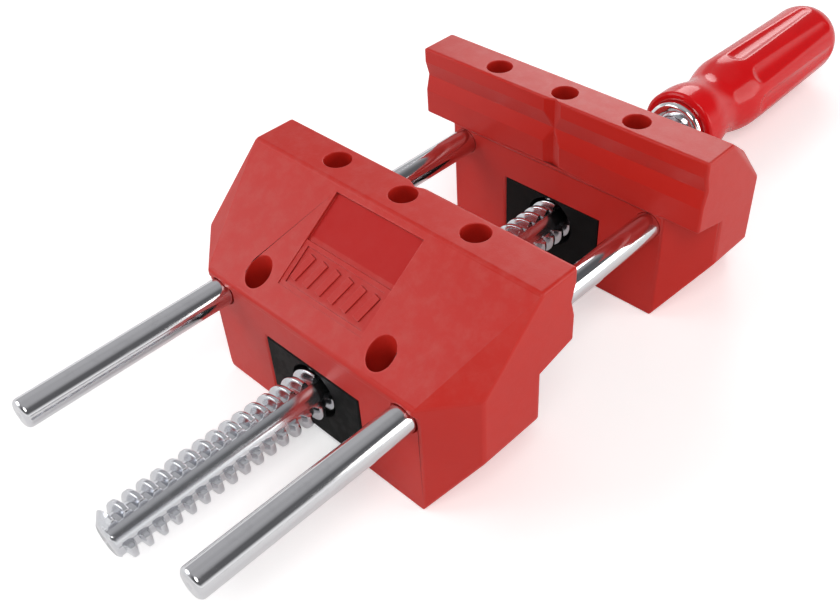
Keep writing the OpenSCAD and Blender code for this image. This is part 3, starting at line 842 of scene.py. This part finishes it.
class VISE_OT_handle(bpy.types.Operator):
    """Builds the chrome ferrule and the fluted red grip"""
    bl_idname = "vise.handle"
    bl_label = "Handle"

    def execute(self, context):
        sizes = context.scene.vise_sizes
        low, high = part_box("ferrule")
        r = (high.x - low.x) / 2
        centre = (0.0, (low.z + high.z) / 2)
        corners = [
            (low.y, 6.1 * MM, 0), (low.y, r, 1.9 * MM), (high.y, r, 0.3 * MM), (high.y, 5 * MM, 0),
            (low.y + 0.8 * MM, 5 * MM, 0),
        ]
        ferrule = turned("Handle_ferrule", corners, centre, TURNING,
                         bpy.data.materials["Ferrule chrome"], steps=7, columns=96, ring=True)
        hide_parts("ferrule")
        points, faces = self.grip(*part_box("handle_grip"), r + 0.03 * MM, high.y, sizes)
        grip = mesh_piece("Handle_grip_body", points, faces, TURNING)
        recalculated(grip)
        grip.data.shade_smooth()
        grip.data.set_sharp_from_angle(angle=CREASE)
        grip.data.materials.append(bpy.data.materials["Grip gloss"])
        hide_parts("handle_grip")
        return {"FINISHED"}

    def grip(self, low, high, bore, seat, sizes):
        """A fluted grip.

        At distance t from the front the round body's radius is the outline's straight line through
        a collar, a neck and the body, averaged over a bell 1.1 mm wide, and the body ends in a dome
        sqrt(D D - s s), where D is the dome's radius and s the distance past its start. A flute is
        a round-bottomed channel: at angle d from its middle its wall is at
        R cos d - sqrt(q q - R R sin d sin d), where R is the channel's distance from the axis and q
        its radius, which shrinks to nothing like a ball beyond the channel's ends. The two are
        joined by the smaller, softened near their meeting. The ferrule's seat is a plain bore."""
        whole, big = high.y - low.y, (high.z - low.z) / 2
        cz = (high.z + low.z) / 2
        dome, channel, drop, soft = 12 * MM, 7 * MM, 0.8 * MM, 0.25 * MM
        channel_start, channel_end = 35 * MM, whole - 13 * MM
        body_end = whole - dome
        at = np.array([-2, 1, 7, 10, 14, 17.5, 20.5, 24, 28, 32, 36, 60]) * MM
        under = np.array([0.6, 0.6, 0.6, 1.1, 2.1, 2.7, 2.7, 1.7, 0.6, 0.1, 0.0, 0.4]) * MM
        at, under = np.append(at, [body_end, whole]), np.append(under, [drop, drop])
        t = np.concatenate([
            np.linspace(0, 1.2, 9, endpoint=False), np.linspace(1.2, 48, 118, endpoint=False),
            np.linspace(48, body_end / MM - 18, 16, endpoint=False),
            np.linspace(body_end / MM - 18, body_end / MM, 40)]) * MM
        bell = np.linspace(-2.4, 2.4, 41)
        weight = np.exp(-bell ** 2 / 2)
        near = np.interp(t[:, None] + bell[None] * 1.1 * MM, at, under)
        body = big - (near * weight).sum(1) / weight.sum()
        lip = np.clip(1.2 * MM - t, 0, None)
        body = body - lip ** 2 / (1.3 * MM)
        past = np.sin(np.linspace(0, math.pi / 2, 28)[1:])
        t = np.concatenate([t, body_end + dome * past])
        body = np.concatenate([body, big - drop - dome + dome * np.sqrt(1 - past ** 2)])
        columns = sizes.grip_flutes * 22
        a = np.linspace(0, 2 * math.pi, columns, endpoint=False)
        step_a = 2 * math.pi / sizes.grip_flutes
        d = np.mod(a + step_a / 2 - math.pi / 2, step_a) - step_a / 2
        reach = big + channel - sizes.grip_flute_depth
        beyond = np.maximum(np.maximum(channel_start - t, t - channel_end), 0)
        q = np.sqrt(np.maximum(channel ** 2 - beyond ** 2, 0))[:, None]
        inside = q ** 2 - (reach * np.sin(d)[None]) ** 2
        wall = reach * np.cos(d)[None] - np.sqrt(np.maximum(inside, 0))
        wall = np.where(inside > 0, wall, big * 2)
        radius = body[:, None] * np.ones(columns)[None]
        mix = np.clip(0.5 + 0.5 * (radius - wall) / soft, 0, 1)
        radius = radius * (1 - mix) + wall * mix - soft * mix * (1 - mix)
        inner = np.array([0.0, bore, bore, bore + 0.2 * MM])
        y = np.concatenate([[seat, seat, low.y + 0.2 * MM, low.y], low.y + t, [high.y]])
        radius = np.vstack([np.repeat(inner[:, None], columns, 1), radius, np.zeros((1, columns))])
        grid = np.stack([radius * np.sin(a)[None], np.repeat(y[:, None], columns, 1),
                         cz + radius * np.cos(a)[None]], -1)
        return close_grid(grid, radius.mean(1))


class VISE_OT_hardware(bpy.types.Operator):
    """Builds the thrust washer and collar, and finishes the small parts that stay as they are"""
    bl_idname = "vise.hardware"
    bl_label = "Hardware"

    def execute(self, context):
        steel = bpy.data.materials["Hardware steel"]
        for node, name, body, inner in (
            ("thrust_washer", "Thrust_washer_ring", FIXED, 6.05 * MM),
            ("thrust_collar", "Thrust_collar_ring", TURNING, 6.0 * MM),
        ):
            low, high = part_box(node)
            r = (high.x - low.x) / 2
            cut = min(0.5 * MM, (high.y - low.y) / 5)
            corners = [(low.y, inner, cut / 2), (low.y, r, cut), (high.y, r, cut),
                       (high.y, inner, cut / 2)]
            piece = turned(name, corners, (0.0, (low.z + high.z) / 2), body, steel,
                           ring=True)
            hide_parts(node)
        for names, material in (
            (("rod_pins", "thrust_block_screws", "nut_block_screws"), "Hardware steel"),
            (("spindle_bush", "guide_bush_left", "guide_bush_right"), "Sintered bronze"),
            (("thread_nut",), "Spindle steel"),
            (("retaining_ring", "collar_pin", "handle_pin"), "Dark steel"),
        ):
            for name in names:
                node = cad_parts[name]
                if not node.material_slots:
                    raise RuntimeError(f"{name} has no material slot")
                for slot in node.material_slots:
                    slot.material = bpy.data.materials[material]
        return {"FINISHED"}


class VISE_OT_stage(bpy.types.Operator):
    """Sets the pale floor, the soft lights and the camera"""
    bl_idname = "vise.stage"
    bl_label = "Stage"

    def execute(self, context):
        stage = context.scene.vise_stage
        self.floor(tuple(stage.floor))
        self.world(context.scene)
        middle = Vector((0.0, 0.0, 0.03))
        for name, place_at, size, power, tint in (
            ("Key", (0.45, -0.40, 0.80), 0.50, 3.3, (1.0, 0.985, 0.96)),
            ("Fill", (-0.60, -0.60, 0.50), 0.60, 2.6, (0.96, 0.98, 1.0)),
            ("Back", (-0.45, 0.78, 0.50), 0.50, 2.6, (1.0, 1.0, 1.0)),
            ("Side", (0.75, 0.45, 0.30), 0.60, 2.6, (1.0, 0.98, 0.95)),
        ):
            light = bpy.data.lights.new(name, "AREA")
            light.shape = "DISK"
            light.size = size
            light.energy = power
            light.color = tint
            lamp = bpy.data.objects.new(name, light)
            lamp.location = place_at
            lamp.rotation_euler = (middle - Vector(place_at)).to_track_quat("-Z", "Y").to_euler()
            context.scene.collection.objects.link(lamp)
        self.camera(context.scene, stage)
        context.scene.view_settings.view_transform = "Standard"
        context.scene.view_settings.look = "None"
        return {"FINISHED"}

    def floor(self, paint):
        """A disc 4 m across just under the base, with a very faint mottled paint finish.

        It glows a little to the eye, and more further out, so that it stays white past the lamps."""
        sides, reach, z = 96, 2.0, CAD_BOX[0][2] - 0.0001
        a = np.linspace(0, 2 * math.pi, sides, endpoint=False)
        rim = np.stack([reach * np.cos(a), reach * np.sin(a), np.full(sides, z)], -1)
        points = np.vstack([[[0.0, 0.0, z]], rim])
        faces = [(0, 1 + i, 1 + (i + 1) % sides) for i in range(sides)]
        mesh = bpy.data.meshes.new("Floor")
        mesh.from_pydata(points.tolist(), [], faces)
        mesh.update()
        floor = bpy.data.objects.new("Floor", mesh)
        bpy.context.scene.collection.objects.link(floor)
        tree, shader = new_material("Floor paint")
        noise = add(tree, "TexNoise", {"Vector": place_mm(tree), "Scale": 0.02, "Detail": 3.0})
        tone = mixed_colour(tree, noise.outputs[0], scaled(paint, 0.99), scaled(paint, 1.01))
        away = add(tree, "VectorMath", {0: place_mm(tree)}, operation="LENGTH").outputs["Value"]
        metres = math_node(tree, "DIVIDE", away, 1000.0)
        glow = raised(tree, 0.40, ramp(tree, metres, 0.3, 1.2), 0.5)
        seen = add(tree, "LightPath").outputs["Is Camera Ray"]
        feed(tree, shader, {"Base Color": tone, "Emission Color": tone, "Roughness": 0.7,
                            "Emission Strength": product(tree, seen, glow), "Specular IOR Level": 0.2})
        mesh.materials.append(bpy.data.materials["Floor paint"])

    def world(self, scene):
        """A studio: a white backdrop up to a fifth of the way up, dark above it, and a grey ceiling
        that reaches lower on the left."""
        world = bpy.data.worlds.new("Room")
        scene.world = world
        world.use_nodes = True
        tree = world.node_tree
        tree.nodes.clear()
        where = add(tree, "TexCoord")
        parts = add(tree, "SeparateXYZ", {0: where.outputs["Generated"]}).outputs
        above = ramp(tree, parts[2], 0.10, 0.42)
        tone = mixed_colour(tree, above, (1.05, 1.05, 1.05), (0.12, 0.12, 0.125))
        left = product(tree, above, ramp(tree, product(tree, parts[0], -1.0), -0.1, 0.5))
        tone = mixed_colour(tree, left, tone, (0.50, 0.50, 0.51))
        tone = mixed_colour(tree, ramp(tree, parts[2], 0.75, 1.0), tone, (0.45, 0.45, 0.46))
        light = add(tree, "Background", {"Color": tone, "Strength": 1.0})
        end = tree.nodes.new("ShaderNodeOutputWorld")
        tree.links.new(light.outputs[0], end.inputs[0])

    def camera(self, scene, stage):
        """The camera's axes come from its bearing, its height and a turn about its view."""
        az, el, roll = stage.camera_azimuth, stage.camera_elevation, stage.camera_roll
        back = Vector((math.sin(az) * math.cos(el), -math.cos(az) * math.cos(el), math.sin(el)))
        level = Vector((math.cos(az), math.sin(az), 0.0))
        up = back.cross(level)
        right = level * math.cos(roll) + up * math.sin(roll)
        over = up * math.cos(roll) - level * math.sin(roll)
        lens = bpy.data.cameras.new("Camera")
        lens.lens = stage.lens
        lens.sensor_width = 36.0
        lens.clip_start = 0.01
        lens.clip_end = 20.0
        camera = bpy.data.objects.new("Camera", lens)
        turn = Matrix((right, over, back)).transposed().to_4x4()
        camera.matrix_world = Matrix.Translation(Vector(stage.camera_place)) @ turn
        scene.collection.objects.link(camera)
        scene.camera = camera


STEPS = (
    VISE_OT_stage, VISE_OT_finishes, VISE_OT_jaws, VISE_OT_blocks, VISE_OT_guide_rods,
    VISE_OT_spindle, VISE_OT_handle, VISE_OT_hardware,
)


class VISE_PT_build(bpy.types.Panel):
    """Sizes, colours and the steps that build the vise"""
    bl_idname = "VISE_PT_build"
    bl_label = "Bench vise"
    bl_space_type = "VIEW_3D"
    bl_region_type = "UI"
    bl_category = "Vise"

    def draw(self, context):
        for group in (context.scene.vise_sizes, context.scene.vise_colours, context.scene.vise_stage):
            box = self.layout.box()
            for key in group.bl_rna.properties.keys():
                if key not in ("rna_type", "name"):
                    box.prop(group, key)
        for step in STEPS:
            self.layout.operator(step.bl_idname)


CLASSES = (ViseSizes, ViseColours, ViseStage, *STEPS, VISE_PT_build)


def register():
    for cls in CLASSES:
        bpy.utils.register_class(cls)
    bpy.types.Scene.vise_sizes = bpy.props.PointerProperty(type=ViseSizes)
    bpy.types.Scene.vise_colours = bpy.props.PointerProperty(type=ViseColours)
    bpy.types.Scene.vise_stage = bpy.props.PointerProperty(type=ViseStage)


def unregister():
    del bpy.types.Scene.vise_stage
    del bpy.types.Scene.vise_colours
    del bpy.types.Scene.vise_sizes
    for cls in reversed(CLASSES):
        bpy.utils.unregister_class(cls)


def main():
    register()
    bpy.ops.vise.stage()
    bpy.ops.vise.finishes()
    bpy.ops.vise.jaws()
    bpy.ops.vise.blocks()
    bpy.ops.vise.guide_rods()
    bpy.ops.vise.spindle()
    bpy.ops.vise.handle()
    bpy.ops.vise.hardware()


if __name__ == "__main__":
    main()
